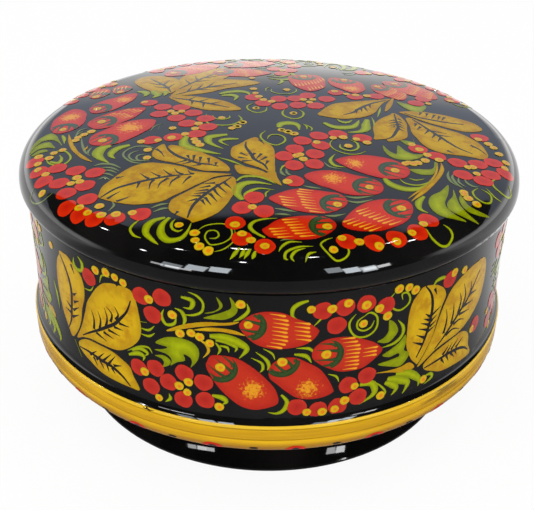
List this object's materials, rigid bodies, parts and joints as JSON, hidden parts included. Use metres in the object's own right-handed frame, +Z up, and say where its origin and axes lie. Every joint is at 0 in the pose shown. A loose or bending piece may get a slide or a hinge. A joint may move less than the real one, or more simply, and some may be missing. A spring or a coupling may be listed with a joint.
{
  "type": "round lidded box",
  "caption": "Round turned wooden box on a flared foot, black with painted berries and leaves, a gold bead round its base and a domed lid that lifts off.",
  "frame": {"origin": "centre of the foot's standing ring, on the surface that the box stands on", "axes": "+Z up along the turning axis; -Y towards the front of the pictured view"},
  "size_m": [0.2006, 0.2006, 0.111],
  "materials": {
    "black_lacquer": "gloss lacquer over linden",
    "gold_lacquer": "gold lacquer over linden"
  },
  "bodies": {
    "box": {"drum_wall": "black_lacquer", "base_plate": "gold_lacquer", "foot_ring": "black_lacquer"},
    "lid": {"lid": "black_lacquer"}
  },
  "joints": [
    {"name": "lid_lift", "type": "slide", "parent": "box", "child": "lid", "axis": [0, 0, 1], "range_m": [0, 0.1]}
  ]
}
